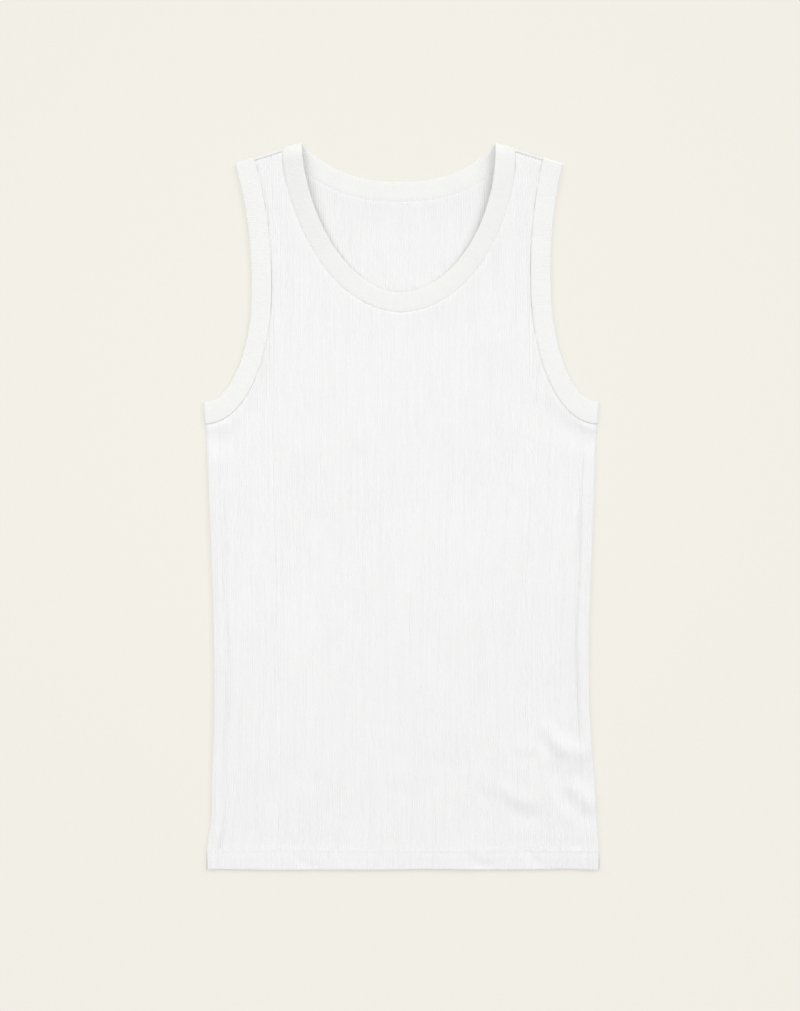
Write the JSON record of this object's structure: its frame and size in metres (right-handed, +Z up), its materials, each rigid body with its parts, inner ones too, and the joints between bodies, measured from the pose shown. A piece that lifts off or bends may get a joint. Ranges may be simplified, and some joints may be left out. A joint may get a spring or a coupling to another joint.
{
  "type": "tank top",
  "caption": "Sleeveless ribbed cotton undershirt laid flat and face up, with a scooped neck, wide armholes, ribbed bands and a turned-up hem.",
  "frame": {"origin": "centre of the garment's outline, on the surface it lies on", "axes": "+X to the right as seen from above, +Y from the hem to the neck, +Z up out of the front of the garment"},
  "size_m": [0.3993, 0.7262, 0.0057],
  "materials": {
    "rib_cloth": "matt white cotton rib knit",
    "rib_band": "matt white cotton rib knit, doubled and pressed"
  },
  "bodies": {
    "root": {"back_panel": "rib_cloth", "front_panel": "rib_cloth", "neck_binding": "rib_band", "armhole_binding_right": "rib_band", "armhole_binding_left": "rib_band"}
  },
  "joints": []
}
